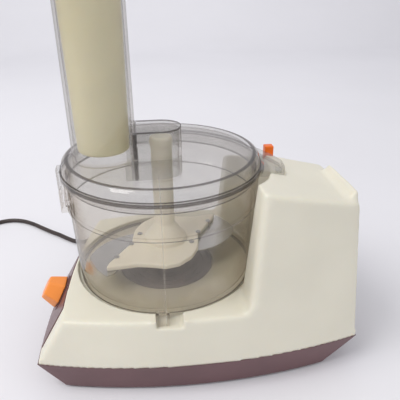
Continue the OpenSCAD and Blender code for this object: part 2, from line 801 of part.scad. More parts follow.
module bracket_bolts() color(steel) at_motor()
    for (y = [-1, 1]) translate([0, y * bracket_bolt_y, bracket_low_z + bracket_t])
        rotate([180, 0, 0]) screw(bracket_bolt_l);

module motor_bushes() color(bronze) at_motor()
    for (z = [bracket_low_z, bracket_up_z]) translate([0, 0, z]) ring(bush_h, bush_r, shaft_r + run);

module motor_shaft() color(steel) at_motor(pulley_z - 2) cylinder(h = shaft_top_z - pulley_z + 2, r = shaft_r);

module rotor_core() color([0.5, 0.5, 0.52]) at_motor(stack_z) difference() {
    cylinder(h = stack_h, r = rotor_r);
    translate([0, 0, -eps]) cylinder(h = far, r = shaft_r);
    for (a = [0:30:330]) rotate([0, 0, a]) translate([rotor_r - 4, -1, -eps]) cube([6, 2, far]);
}

module rotor_winding() color(copper) at_motor() {
    translate([0, 0, stack_z - winding_h]) ring(winding_h, rotor_r - 4, shaft_r);
    translate([0, 0, stack_top]) ring(winding_h, rotor_r - 4, shaft_r);
}

module commutator() color(copper) at_motor(comm_z) difference() {
    ring(comm_h, comm_r, shaft_r);
    for (a = [0:30:330]) rotate([0, 0, a]) translate([comm_r - 1, -0.3, -eps]) cube([2, 0.6, far]);
}

module cooling_fan() color(black) at_motor(fan_z) {
    ring(fan_h, 9, shaft_r);
    ring(1.5, 27, 8.5);
    for (a = [0:40:320]) rotate([0, 0, a]) translate([8.5, -0.75, 0]) cube([18, 1.5, fan_h]);
}

// A flat-belt pulley with a flange at each face
module pulley(r, bore, hub) difference() {
    union() {
        cylinder(h = pulley_h, r = r - gap);
        for (z = [0, pulley_h - 0.7]) translate([0, 0, z]) cylinder(h = 0.7, r = r + belt_t);
        translate([0, 0, -2]) cylinder(h = pulley_h + 2, r = hub);
    }
    translate([0, 0, -4]) cylinder(h = far, r = bore);
}

module motor_pulley() color([0.66, 0.67, 0.68]) at_motor(pulley_z) pulley(driver_r, shaft_r, 7);

module brush_holders() color(bronze) at_motor(comm_z + 2) for (a = [0, 180]) rotate([0, 0, a])
    translate([comm_r + gap, -4, 0]) {
        translate([0, 1, 0.5]) cube([6, 6, 6]);
        translate([4, 0, 0]) cube([12, 8, 7]);
        translate([8, 3, 0]) cube([2, 2, bracket_up_z - comm_z - 2]);
    }

// ---- Drive ----

belt_d = motor_x - bowl_x;
belt_a = asin((driven_r - driver_r) / belt_d);

// The belt's loop at a distance t outside the pulleys' running faces: an arc round each pulley
function arc(x, r, from, to, n) = [for (i = [0:n]) let(a = from + (to - from) * i / n) [x + r * cos(a), r * sin(a)]];
module belt_outline(t) polygon(concat(
    arc(bowl_x, driven_r + t, 90 - belt_a, 270 + belt_a, 48),
    arc(motor_x, driver_r + t, belt_a - 90, 90 - belt_a, 24)));

module drive_belt() color(black) translate([0, 0, pulley_z + (pulley_h - belt_w) / 2])
    linear_extrude(belt_w) difference() {
        belt_outline(belt_t);
        belt_outline(0);
    }

module driven_pulley() color([0.66, 0.67, 0.68]) at_bowl(pulley_z) difference() {
    pulley(driven_r, shaft_r, 13);
    translate([0, 0, 3]) difference() {
        cylinder(h = far, r = driven_r - 4);
        cylinder(h = far, r = 13);
    }
    for (a = [0:60:300]) rotate([0, 0, a]) translate([27, 0, -eps]) cylinder(h = far, r = 8);
}

module pulley_clip() color(steel) at_bowl(spindle_low_z + 0.5) ring(1.2, shaft_r + 3, shaft_r);

module drive_spindle() color(steel) at_bowl(spindle_low_z) cylinder(h = 128 - spindle_low_z, r = shaft_r);

// The drive head carries two flats that turn the tool's socket
module drive_profile(r, flat) intersection() {
    circle(r = r);
    square([2 * flat, 4 * r], center = true);
}

module drive_head() color(cream) at_bowl(head_low_z) difference() {
    union() {
        cylinder(h = socket_z - 2 - head_low_z, r = head_r);
        linear_extrude(head_top_z - head_low_z) drive_profile(head_r, head_flat);
    }
    translate([0, 0, -eps]) cylinder(h = 128 - head_low_z + eps, r = shaft_r);
}

module bearing_housing() color([0.66, 0.67, 0.68]) at_bowl() difference() {
    union() {
        translate([0, 0, bearing_low_z]) cylinder(h = bearing_top_z - bearing_low_z, r = bearing_r);
        translate([0, 0, deck_under_z - flange_h]) cylinder(h = flange_h, r = flange_r);
    }
    translate([0, 0, bearing_low_z - eps]) cylinder(h = far, r = bush_r);
    for (a = bearing_screw_a) rotate([0, 0, a]) translate([flange_r - 5, 0, 0]) cylinder(h = far, r = screw_r);
}

module bearing_screws() color(steel) at_bowl(deck_under_z - flange_h) for (a = bearing_screw_a)
    rotate([0, 0, a]) translate([flange_r - 5, 0, 0]) screw(bearing_screw_l);

module spindle_bushes() color(bronze) at_bowl()
    for (z = [bearing_low_z, bearing_top_z - 7]) translate([0, 0, z]) ring(7, bush_r, shaft_r + run);

module spindle_seal() color(black) at_bowl(well_z) rotate_extrude()
    polygon([[shaft_r + run, 0], [13, 0], [13, 1.5], [shaft_r + 2.5, 2.2], [shaft_r + 0.8, 3.4], [shaft_r + run, 3.4]]);

// ---- Bowl, lid and pusher ----

function bowl_r(z) = bowl_low_r + (bowl_mid_r - bowl_low_r) * (z - deck_z) / (band_z - deck_z);

module bowl_body() {
    low = bowl_r(bowl_z);
    inner = bowl_z + bowl_floor;
    rotate_extrude($fn = big_fn) polygon([
        [chimney_r - chimney_wall, bowl_z], [low - 2, bowl_z], [low, bowl_z + 2], [bowl_r(band_z), band_z],
        [band_r - 0.4, band_z + 1], [band_r, rim_z - rim_flange - 1.2], [rim_r, rim_z - rim_flange],
        [rim_r, rim_z], [band_in_r, rim_z], [band_in_r - 0.4, band_z + 3.5], [bowl_r(band_z) - bowl_wall, band_z + 1],
        [bowl_r(inner) - bowl_wall, inner + 2.5], [bowl_r(inner) - bowl_wall - 2.5, inner],
        [chimney_r + 3, inner], [chimney_r, inner + 3], [chimney_r, chimney_top_z],
        [chimney_r - chimney_wall, chimney_top_z]]);
}

// Front lug that locks in the deck's notch: a hooked block hanging from the wall
module bowl_lug() {
    x0 = notch_off - notch_w / 2 + gap;
    r_out = seat_r + 9;
    low_z = notch_z + gap;
    difference() {
        translate([x0, -r_out, low_z]) cube([lug_w, r_out - bowl_low_r + 4, lug_h]);
        translate([x0 + 2.5, -r_out + 2.5, low_z - eps]) cube([lug_w - 5, r_out, lug_h - 2]);
        translate([0, 0, low_z - 1]) cylinder(h = far, r = bowl_low_r - 1.2);
    }
    translate([x0 + lug_w - 4.5, -bowl_low_r - 2.2, deck_z]) cube([1, 2, band_z - deck_z - 6]);
}

// Ear at the left of the wall that the lid's own ear turns over
module bowl_ear() rotate([0, 0, ear_a]) difference() {
    translate([band_r - 4, -ear_w / 2, bowl_ear_low_z]) cube([ear_r - band_r + 4, ear_w, bowl_ear_h]);
    translate([band_r + 1.3, -ear_w / 2 - eps, bowl_ear_low_z + 5])
        cube([2.4, ear_w + 2 * eps, bowl_ear_h - 8]);
    translate([ear_r, 0, bowl_ear_low_z - 3]) rotate([0, 24, 0]) translate([0, -20, -20]) cube([20, 40, 40]);
}

module bowl() color(smoke) at_bowl() {
    bowl_body();
    bowl_lug();
    bowl_ear();
}

// The lid's shell of revolution: flat top, rounded shoulder, flange and the ring that fits in the bowl
module lid_shell() rotate_extrude($fn = big_fn) {
    r = 5.5;
    polygon(concat([[0, lid_z - lid_wall], [0, lid_z]],
        [for (a = [90:-15:15]) [lid_flat_r + r * cos(a), lid_z - r + r * sin(a)]],
        [[skirt_r_lid, flange_z + flange_t], [rim_r, flange_z + flange_t], [rim_r, flange_z], [ring_r, flange_z],
        [ring_r, ring_z], [ring_r - lid_wall, ring_z], [ring_r - lid_wall, flange_z + flange_t],
        [lid_flat_r, lid_z - lid_wall - 1.5], [lid_flat_r - 2, lid_z - lid_wall]]));
}

module stadium(r) {
    circle(r = r);
    translate([-tube_off, -r]) square([tube_off, 2 * r]);
}

module lid_tongue() {
    translate([tongue_x - bowl_x, 0, flange_z]) linear_extrude(tongue_t) difference() {
        tongue_shape();
        translate([bowl_x - tongue_x, 0]) circle(r = rim_r - 2);
    }
    translate([tongue_x - bowl_x, 0, flange_z - tongue_skirt]) linear_extrude(tongue_skirt + eps) difference() {
        tongue_shape();
        tongue_shape(-2.2);
        translate([bowl_x - tongue_x, 0]) circle(r = rim_r + loose);
    }
    translate([plunger_x - bowl_x, plunger_y, post_z]) cylinder(h = flange_z + 1 - post_z, r = post_r);
}

module lid_ear() rotate([0, 0, ear_a]) difference() {
    intersection() {
        translate([0, 0, rim_z - lid_ear_h]) cylinder(h = lid_ear_h + 3, r = ear_r);
        translate([rim_r - 3, -ear_w / 2 - 1, rim_z - lid_ear_h]) cube([20, ear_w + 2, lid_ear_h + 3]);
    }
    translate([0, 0, rim_z - lid_ear_h - eps]) cylinder(h = flange_z - rim_z + lid_ear_h + eps, r = rim_r + loose);
}

module lid() color(smoke) at_bowl() difference() {
    union() {
        lid_shell();
        translate([0, 0, ring_z]) linear_extrude(dome_z - ring_z) stadium(dome_r);
        translate([-tube_off, 0, lid_z - 4]) cylinder(h = tube_top_z - lid_z + 4, r = tube_r);
        translate([-tube_off, 0, tube_top_z - 4]) cylinder(h = 4, r = tube_r + 2);
        lid_tongue();
        lid_ear();
    }
    translate([0, 0, ring_z - eps]) linear_extrude(dome_z - lid_wall - ring_z + eps) difference() {
        stadium(dome_in_r);
        translate([-tube_off, 0]) circle(r = tube_r);
    }
    translate([-tube_off, 0, ring_z - eps]) cylinder(h = far, r = tube_in_r);
    translate([-21, -dome_r - 0.6, dome_z - 12]) cube([10, 1.2, 1.4]);
}

module pusher() color(cream) translate([tube_x, 0, 0]) rotate_extrude() polygon([
    [0, pusher_low_z], [pusher_low_r - 1.5, pusher_low_z], [pusher_low_r, pusher_low_z + 1.5],
    [pusher_top_r, tube_top_z - 3], [pusher_top_r, tube_top_z + gap], [tube_r + 3, tube_top_z + gap],
    [tube_r + 3, tube_top_z + 3], [pusher_top_r + 1, tube_top_z + 3.8], [pusher_top_r, tube_top_z + grip_h],
    [pusher_top_r - 2.5, tube_top_z + grip_h], [pusher_low_r - 2.5, pusher_low_z + 2.5],
    [0, pusher_low_z + 2.5]]);

// ---- Blade tool ----

module plate_outline() polygon([for (turn = [0, 180]) for (p = plate_half_outline)
    [p[1] * cos(p[0] + turn), p[1] * sin(p[0] + turn)]]);

module tool_hub() color(cream) at_bowl() difference() {
    union() {
        translate([0, 0, plate_z]) linear_extrude(plate_t) plate_outline();
        translate([0, 0, plate_z]) cylinder(h = plate_t + 5, r = skirt_r + 1);
        translate([0, 0, plate_z + plate_t + 5]) cylinder(h = 15, r1 = skirt_r, r2 = stem_r);
        translate([0, 0, plate_z]) cylinder(h = stem_top_z - plate_z, r = stem_r);
        translate([0, 0, stem_top_z - 9]) cylinder(h = 7, r = stem_r + 0.8);
    }
    translate([0, 0, plate_z - eps]) cylinder(h = socket_z - plate_z + eps, r = chimney_r + gap + 0.2);
    translate([0, 0, socket_z - eps]) linear_extrude(head_top_z + 2 - socket_z)
        drive_profile(head_r + gap, head_flat + gap);
    translate([0, 0, head_top_z + 1]) cylinder(h = stem_top_z - 3 - head_top_z - 1, r = stem_r - 2.2);
    for (turn = [0, 180], p = rivet_places) rotate([0, 0, turn]) translate([p[0], p[1], plate_z - eps])
        cylinder(h = plate_t + 2 * eps, r = rivet_r);
}

// A sickle blade under the plate: a crescent whose outer edge cuts
module blade(turn) rotate([0, 0, turn]) translate([0, 0, plate_z - blade_t]) linear_extrude(blade_t)
    difference() {
        intersection() {
            translate([24, 34]) circle(r = 56);
            circle(r = 81);
            polygon([[16, -22], [70, -40], [95, 20], [72, 62], [52, 52], [30, 12]]);
        }
        translate([chimney_r - 8, 40]) circle(r = 24);
        for (p = rivet_places) translate(p) circle(r = rivet_r);
        circle(r = chimney_r + 6);
    }

module blade_lower() color(steel) at_bowl() blade(0);
module blade_upper() color(steel) at_bowl() blade(180);

module blade_rivets() color([0.55, 0.55, 0.56]) at_bowl() for (turn = [0, 180], p = rivet_places)
    rotate([0, 0, turn]) translate([p[0], p[1], plate_z - blade_t]) {
        cylinder(h = blade_t + plate_t, r = rivet_r);
        translate([0, 0, blade_t + plate_t]) cylinder(h = 0.6, r = rivet_r + 1.1);
        translate([0, 0, -0.6]) cylinder(h = 0.6, r = rivet_r + 1.1);
    }

// ---- Cord ----

// Strain relief: a flange outside the back wall and a taper over the cord
module cord_gland() color(black) translate(gland_point(0)) rotate([-90, 0, gland_turn]) rotate_extrude()
    polygon([[cord_d / 2, -wall - 3], [gland_neck_r + 1.5, -wall - 3], [gland_neck_r + 1.5, -wall - 1],
        [gland_neck_r, -wall - 1], [gland_neck_r, 0.8], [gland_neck_r + 2.5, 0.8], [gland_neck_r + 2.5, 3],
        [gland_neck_r, 4], [cord_d / 2 + 1, gland_l], [cord_d / 2, gland_l]]);

module power_cord() color(cord_brown) sweep(cord_route, cord_d / 2, 10);

module cord_coil() color(cord_brown) translate([coil_c[0], coil_c[1], 0.1]) rotate_extrude()
    translate([coil_mean_r - coil_half, 0]) square([2 * coil_half, coil_h]);

module cord_tie() color(black) translate([coil_c[0] - coil_mean_r, coil_c[1], 0.1]) difference() {
    translate([-coil_half - 1.3, -3, 0]) cube([2 * coil_half + 2.6, 6, coil_h + 1.3]);
    translate([-coil_half - 0.1, -4, -eps]) cube([2 * coil_half + 0.2, 8, coil_h + eps]);
}

module cord_tail() color(cord_brown) sweep(tail_route, cord_d / 2, 10);

module plug_body() color(cord_brown) translate([plug_c[0], plug_c[1], plug_z]) rotate([0, -90, 0]) hull() {
    translate([0, 0, -16]) cylinder(h = 2, r = cord_d / 2 + 2, $fn = hull_fn);
    for (y = [-1, 1]) translate([0, y * (plug_w / 2 - 7), -6]) cylinder(h = plug_l - 8, r = 7, $fn = hull_fn);
}

module plug_blades() color(bronze) for (y = [-1, 1])
    translate([plug_c[0] - plug_l + 14 - 18, plug_c[1] + y * blade_pitch / 2 - 0.75, plug_z - 3.15])
        cube([18, 1.5, 6.3]);

module switch_lead() color(black)
    sweep([gland_point(-7), [-114, 86, 46], [-122, 75, 45], [-125, 60, 45], [-124, 40, 46], [-124, 20, 48],
        [-125, 4, 50], [-126, -7, 51]], lead_r, 8);

module motor_lead() color(black)
    sweep([[-110, -44, 49], [-104, -56, 46], [-92, -72, 43], [-70, -84, 42], [-40, -89, 42], [0, -91, 42],
        [40, -89, 42], [64, -80, 44], [82, -62, 50], [96, -54, 66], [102, -51, 90], [104, -49, 125]], lead_r, 8);

// ---- Show ----
housing();
bottom_tray();
foot(-1, -1);  // foot_front_left
foot(1, -1);  // foot_front_right
foot(-1, 1);  // foot_back_left
foot(1, 1);  // foot_back_right
tray_screws();
rear_cover();
rear_cover_screws();
control_plate();
control_knob();
switch_body();
release_button();
button_spring();
switch_plunger();
plunger_spring();
microswitch();
motor_stator();
field_coil(-1);  // field_coil_front
field_coil(1);  // field_coil_back
bracket_lower();
bracket_upper();
bracket_bolts();
motor_bushes();
motor_shaft();
rotor_core();
rotor_winding();
commutator();
cooling_fan();
motor_pulley();
brush_holders();
drive_belt();
driven_pulley();
pulley_clip();
drive_spindle();
drive_head();
bearing_housing();
bearing_screws();
spindle_bushes();
spindle_seal();
hub_ring();
bowl();
lid();
pusher();
tool_hub();
blade_lower();
blade_upper();
blade_rivets();
cord_gland();
switch_lead();
motor_lead();
power_cord();
cord_coil();
cord_tail();
cord_tie();
plug_body();
plug_blades();
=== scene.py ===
"""The looks of a food processor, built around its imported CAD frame.

Metres, Z up, -Y is the front; names and comments that say mm are in millimetres.
"""

import math

import bpy
import numpy as np
from mathutils import Matrix, Vector


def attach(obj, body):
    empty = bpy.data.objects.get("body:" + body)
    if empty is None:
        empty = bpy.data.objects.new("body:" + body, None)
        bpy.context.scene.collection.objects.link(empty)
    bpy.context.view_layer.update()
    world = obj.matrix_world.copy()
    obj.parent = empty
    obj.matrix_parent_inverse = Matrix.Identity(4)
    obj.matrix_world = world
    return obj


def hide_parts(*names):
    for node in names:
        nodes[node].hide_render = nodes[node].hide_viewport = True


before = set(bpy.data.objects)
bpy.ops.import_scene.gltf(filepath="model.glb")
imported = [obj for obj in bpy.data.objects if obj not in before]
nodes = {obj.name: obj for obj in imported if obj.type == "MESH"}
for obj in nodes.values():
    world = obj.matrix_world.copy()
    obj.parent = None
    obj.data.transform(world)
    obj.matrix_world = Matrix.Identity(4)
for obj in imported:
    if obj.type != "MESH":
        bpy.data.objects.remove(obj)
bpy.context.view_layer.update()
scene = bpy.context.scene
MM = 0.001

# ---------------------------------------------------------------- camera

CAM_AT = (-39.1 * MM, -425.1 * MM, 362.7 * MM)
CAM_YAW, CAM_PITCH, CAM_ROLL = (math.radians(a) for a in (6.53, 26.269, -0.505))
CAM_LENS, CAM_SENSOR = 41.4, 36.0
CAM_NEAR, CAM_FAR = 0.01, 30


def make_camera():
    """The camera at the photograph's angle: turned right by the yaw, down by the pitch, rolled."""
    level = math.cos(CAM_PITCH)
    ahead = Vector((math.sin(CAM_YAW) * level, math.cos(CAM_YAW) * level, -math.sin(CAM_PITCH)))
    right = Vector((math.cos(CAM_YAW), -math.sin(CAM_YAW), 0))
    up = right.cross(ahead)
    x = right * math.cos(CAM_ROLL) + up * math.sin(CAM_ROLL)
    y = -right * math.sin(CAM_ROLL) + up * math.cos(CAM_ROLL)
    data = bpy.data.cameras.new("camera")
    data.lens, data.sensor_width = CAM_LENS, CAM_SENSOR
    data.clip_start, data.clip_end = CAM_NEAR, CAM_FAR
    cam = bpy.data.objects.new("camera", data)
    turn = Matrix((x, y, -ahead)).transposed().to_4x4()
    cam.matrix_world = Matrix.Translation(CAM_AT) @ turn
    scene.collection.objects.link(cam)
    scene.camera = cam


make_camera()

# ---------------------------------------------------------------- power cord, in mm

CORD_D = 6.0
CORD_SIDES = 16
CORD_Z = 3.1  # the centreline of a cord that lies on the floor
GLAND_AT = (-110.0, 100.188, 47.0)
GLAND_OUT = (-0.17799, 0.98403)
GLAND_RUN = (-6, 10, 27)  # points on the gland's axis, out from the wall
ROUTE = [(-117, 138, 44), (-120, 148, 38), (-124, 157, 29), (-130, 165, 18.5), (-139, 173, 9),
         (-150, 180, 4.5), (-161, 187), (-172, 196), (-184, 207), (-199, 219), (-216, 234),
         (-233, 249), (-250, 260), (-268, 265), (-285, 262), (-298, 254), (-306, 242)]
COIL_AT = (-345.0, 226.0)
COIL_TURNS = [(36, 3.1), (30, 3.1), (30, 9.1), (36, 9.1), (30, 15.1), (36, 15.1)]
COIL_START = math.radians(3.2)
TURN_POINTS = 18
SHIFT_SHARE = 6  # a turn moves to the next one's place in its last 1/6
TAIL = [(-309, 227, 15.1), (-309, 212, 15), (-309, 200, 13), (-310, 189, 11.5), (-313, 179, 10),
        (-319, 170, 9), (-327, 164, 8.5), (-337, 160, 8.5), (-348, 159, 8.5)]
LINE_STEPS = 6


def gland_point(out):
    """A point on the gland's axis, so far outside the wall."""
    return (GLAND_AT[0] + GLAND_OUT[0] * out, GLAND_AT[1] + GLAND_OUT[1] * out, GLAND_AT[2])


def coil_points():
    """The turns of the stored coil, clockwise from above, each going over into the next."""
    points = []
    for k, (radius, z) in enumerate(COIL_TURNS):
        to_radius, to_z = COIL_TURNS[min(k + 1, len(COIL_TURNS) - 1)]
        for i in range(TURN_POINTS):
            t = i / TURN_POINTS
            s = max(0.0, (t - (SHIFT_SHARE - 1) / SHIFT_SHARE) * SHIFT_SHARE)
            s = s * s * (3 - 2 * s)
            a = COIL_START - 2 * math.pi * t
            r = radius + (to_radius - radius) * s
            points.append((COIL_AT[0] + r * math.cos(a), COIL_AT[1] + r * math.sin(a),
                           z + (to_z - z) * s))
    return points


def smooth_line(points):
    """A dense line through every point, as a centripetal spline."""
    pts = np.array(points, float)
    pts = np.vstack([2 * pts[0] - pts[1], pts, 2 * pts[-1] - pts[-2]])
    line = []
    for p0, p1, p2, p3 in zip(pts, pts[1:], pts[2:], pts[3:]):
        t1 = np.linalg.norm(p1 - p0) ** 0.5
        t2 = t1 + np.linalg.norm(p2 - p1) ** 0.5
        t3 = t2 + np.linalg.norm(p3 - p2) ** 0.5
        for t in np.linspace(t1, t2, LINE_STEPS, endpoint=False):
            a1 = (p1 * t + p0 * (t1 - t)) / t1
            a2 = (p1 * (t2 - t) + p2 * (t - t1)) / (t2 - t1)
            a3 = (p2 * (t3 - t) + p3 * (t - t2)) / (t3 - t2)
            b1 = (a1 * (t2 - t) + a2 * t) / t2
            b2 = (a2 * (t3 - t) + a3 * (t - t1)) / (t3 - t1)
            line.append((b1 * (t2 - t) + b2 * (t - t1)) / (t2 - t1))
    return np.array(line + [pts[-2]])


def tube(name, line, radius):
    """A closed round tube along a line, in metres."""
    sides = CORD_SIDES
    ahead = np.gradient(line, axis=0)
    ahead /= np.linalg.norm(ahead, axis=1)[:, None]
    side = np.cross(ahead[0], (0, 0, 1.0))
    rings, angles = [], np.arange(sides) * 2 * math.pi / sides
    for point, axis in zip(line, ahead):
        side = side - axis * side.dot(axis)
        side /= np.linalg.norm(side)
        across = np.cross(axis, side)
        ring = np.outer(np.cos(angles), side) + np.outer(np.sin(angles), across)
        rings.append(point + radius * ring)
    faces = [(k * sides + i, k * sides + (i + 1) % sides,
              (k + 1) * sides + (i + 1) % sides, (k + 1) * sides + i)
             for k in range(len(line) - 1) for i in range(sides)]
    last = (len(line) - 1) * sides
    faces += [tuple(range(sides))[::-1], tuple(range(last, last + sides))]
    mesh = bpy.data.meshes.new(name)
    mesh.from_pydata(np.concatenate(rings).tolist(), [], faces)
    mesh.polygons.foreach_set("use_smooth", [True] * (len(faces) - 2) + [False, False])
    made = bpy.data.objects.new(name, mesh)
    scene.collection.objects.link(made)
    return made


def cord_line():
    """The free cord's centreline from the gland to the plug, in metres."""
    points = [gland_point(out) for out in GLAND_RUN]
    points += [(*p, CORD_Z) if len(p) == 2 else p for p in ROUTE]
    points += coil_points() + TAIL
    return smooth_line(points) * MM


cord_path = cord_line()
cord = tube("power_lead", cord_path, CORD_D / 2 * MM)
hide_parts("power_cord", "cord_coil", "cord_tail")
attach(cord, "base")

# ---------------------------------------------------------------- materials

GRAIN_DEPTH = 0.0002
ROUGH_SPREAD = 0.15
SCATTER_RADIUS = (1.0, 0.7, 0.4)
SCATTER_SCALE = 0.002


def new_material(name):
    """An empty node material: its node tree and the output node."""
    mat = bpy.data.materials.new(name)
    mat.use_nodes = True
    mat.node_tree.nodes.clear()
    return mat, mat.node_tree, mat.node_tree.nodes.new("ShaderNodeOutputMaterial")


def noise(tree, scale, detail, stretch=(1, 1, 1)):
    """A noise over the object's own coordinates; scale is in features per metre."""
    place = tree.nodes.new("ShaderNodeTexCoord")
    mapping = tree.nodes.new("ShaderNodeMapping")
    mapping.inputs["Scale"].default_value = stretch
    tex = tree.nodes.new("ShaderNodeTexNoise")
    tex.inputs["Scale"].default_value = scale
    tex.inputs["Detail"].default_value = detail
    tree.links.new(place.outputs["Object"], mapping.inputs["Vector"])
    tree.links.new(mapping.outputs["Vector"], tex.inputs["Vector"])
    return tex.outputs["Fac"]


def ranged(tree, value, low, high, from_low=0.3, from_high=0.7):
    """A value brought to the range low to high; the usual from-range is a noise's."""
    m = tree.nodes.new("ShaderNodeMapRange")
    limits = {"From Min": from_low, "From Max": from_high, "To Min": low, "To Max": high}
    for socket, number in limits.items():
        m.inputs[socket].default_value = number
    tree.links.new(value, m.inputs["Value"])
    return m.outputs["Result"]


MIX_FACTOR, MIX_A, MIX_B, MIX_RESULT = 0, 6, 7, 2  # a colour Mix node's sockets


def mixed(tree, factor, a, b):
    """Colour a to colour b by a factor; a is a colour or a socket."""
    m = tree.nodes.new("ShaderNodeMix")
    m.data_type = "RGBA"
    if isinstance(a, tuple):
        m.inputs[MIX_A].default_value = (*a, 1)
    else:
        tree.links.new(a, m.inputs[MIX_A])
    m.inputs[MIX_B].default_value = (*b, 1)
    tree.links.new(factor, m.inputs[MIX_FACTOR])
    return m.outputs[MIX_RESULT]


def mixed_shader(tree, factor, first, second):
    """The first shader to the second by a factor."""
    m = tree.nodes.new("ShaderNodeMixShader")
    for socket, value in zip(m.inputs, (factor, first, second)):
        tree.links.new(value, socket)
    return m.outputs[0]


def solid(name, colour, rough=0.4, vary=0.05, patch=14, grain=1400, bump=0.1, metal=0.0,
          stretch=(1, 1, 1), specular=0.5, scatter=0.0):
    """An opaque moulded or machined surface.

    Its colour drifts in patches; its roughness and bump come from a fine grain.
    """
    mat, tree, out = new_material(name)
    p = tree.nodes.new("ShaderNodeBsdfPrincipled")
    p.inputs["Metallic"].default_value = metal
    p.inputs["Specular IOR Level"].default_value = specular
    if scatter:
        p.inputs["Subsurface Weight"].default_value = scatter
        p.inputs["Subsurface Radius"].default_value = SCATTER_RADIUS
        p.inputs["Subsurface Scale"].default_value = SCATTER_SCALE
    darker = tuple(c * (1 - vary) for c in colour)
    lighter = tuple(min(1.0, c * (1 + vary)) for c in colour)
    drift = ranged(tree, noise(tree, patch, 4), 0, 1)
    tree.links.new(mixed(tree, drift, darker, lighter), p.inputs["Base Color"])
    fine = noise(tree, grain, 2, stretch)
    low, high = rough * (1 - ROUGH_SPREAD), rough * (1 + ROUGH_SPREAD)
    tree.links.new(ranged(tree, fine, low, high), p.inputs["Roughness"])
    b = tree.nodes.new("ShaderNodeBump")
    b.inputs["Strength"].default_value = bump
    b.inputs["Distance"].default_value = GRAIN_DEPTH
    tree.links.new(fine, b.inputs["Height"])
    tree.links.new(b.outputs["Normal"], p.inputs["Normal"])
    tree.links.new(p.outputs["BSDF"], out.inputs["Surface"])
    return mat


def arithmetic(tree, operation, a, b):
    """A math node on two values, each a socket or a number."""
    m = tree.nodes.new("ShaderNodeMath")
    m.operation = operation
    for socket, value in zip(m.inputs, (a, b)):
        if isinstance(value, (int, float)):
            socket.default_value = value
        else:
            tree.links.new(value, socket)
    return m.outputs[0]


BOWL_X = -28  # mm, the bowl's axis
TUBE_EDGE = (-25, -22)  # mm past the axis; corners on "line" fade in between these
DOME_LOW, DOME_HIGH = (185, 188), (231, 233)  # mm of height; corners on "y" fade in and out here
# painted shade: a darker tint at the wall's corners, partly the thicker plastic's own smoke and
# partly painted shade for the light that refraction takes away there
CORNER_TINT_AND_SHADE = (0.12, 0.095, 0.085)
CORNER_SHADE_SHARE = 0.85
CORNER_CORE = 0.45  # share of a corner's width that is fully dark
HAZE_ROUGH = 0.35
HAZE_DRIFT = 0.93
GLOSS_ROUGH = 0.05
MOULD_LINE_X = -5  # mm past the axis
MOULD_LINE_FRONT_Y = -60  # mm; the line runs down the front only
MOULD_LINE_HALF = (0.2, 0.7)  # mm; fades out between these
MOULD_LINE_SHARE = 0.22
FACING_BLEND = 0.5
EDGE_POWER, EDGE_GAIN, FACING_SHINE = 5.0, 0.9, 0.045  # the mirror share
CLOUD_SPREAD = (0.8, 1.2)


def hypotenuse(tree, a, b):
    """The length of the vector a, b."""
    squares = (arithmetic(tree, "MULTIPLY", v, v) for v in (a, b))
    return arithmetic(tree, "SQRT", arithmetic(tree, "ADD", *squares), 0.0)


def axis_place(tree):
    """Where a point is: x is from the bowl's axis, and "line" runs from it to the tube."""
    place = tree.nodes.new("ShaderNodeTexCoord")
    parts = tree.nodes.new("ShaderNodeSeparateXYZ")
    tree.links.new(place.outputs["Object"], parts.inputs[0])
    x = arithmetic(tree, "ADD", parts.outputs["X"], -BOWL_X * MM)
    y, z = parts.outputs["Y"], parts.outputs["Z"]
    along = arithmetic(tree, "MAXIMUM", x, 0.0)
    return {"axis": hypotenuse(tree, x, y), "line": hypotenuse(tree, along, y),
            "x": x, "y": y, "z": z}


def near(tree, a, b, a_mm, b_mm, width):
    """1 where two sockets have these values, falling to 0 at a width away, all in mm."""
    da, db = (arithmetic(tree, "SUBTRACT", v, mm * MM) for v, mm in ((a, a_mm), (b, b_mm)))
    return ranged(tree, hypotenuse(tree, da, db), 1.0, 0.0, width * CORNER_CORE * MM, width * MM)


def faded(tree, value, place, low, high, ends):
    """A value times a ramp from low to high over the two ends, in mm, of a place."""
    ramp = ranged(tree, place, low, high, *(end * MM for end in ends))
    return arithmetic(tree, "MULTIPLY", value, ramp)


def corner_tint_and_shade(tree, place, corners):
    """1 at the wall's darkened corners, partly thicker plastic and partly painted shade; each is a
    pair of place names, their values and a width.
    """
    corner_shade = None
    for first, second, a_mm, b_mm, width in corners:
        one = near(tree, place[first], place[second], a_mm, b_mm, width)
        if first == "line":
            one = faded(tree, one, place["x"], 0, 1, TUBE_EDGE)
        if second == "y":
            one = faded(tree, one, place["z"], 0, 1, DOME_LOW)
            one = faded(tree, one, place["z"], 1, 0, DOME_HIGH)
        corner_shade = one if corner_shade is None else arithmetic(tree, "MAXIMUM", corner_shade, one)
    return corner_shade


def mould_line(tree, place):
    """The share that a fine vertical line down the front adds to the haze."""
    off = arithmetic(tree, "SUBTRACT", place["x"], MOULD_LINE_X * MM)
    off = arithmetic(tree, "ABSOLUTE", off, 0.0)
    front = arithmetic(tree, "LESS_THAN", place["y"], MOULD_LINE_FRONT_Y * MM)
    inner, outer = (half * MM for half in MOULD_LINE_HALF)
    line = ranged(tree, off, MOULD_LINE_SHARE, 0.0, inner, outer)
    return arithmetic(tree, "MULTIPLY", line, front)


def fresnel(tree, facing):
    """The mirror share, which grows towards an edge-on wall as Schlick's formula has it."""
    edge = arithmetic(tree, "POWER", facing, EDGE_POWER)
    return arithmetic(tree, "ADD", arithmetic(tree, "MULTIPLY", edge, EDGE_GAIN), FACING_SHINE)


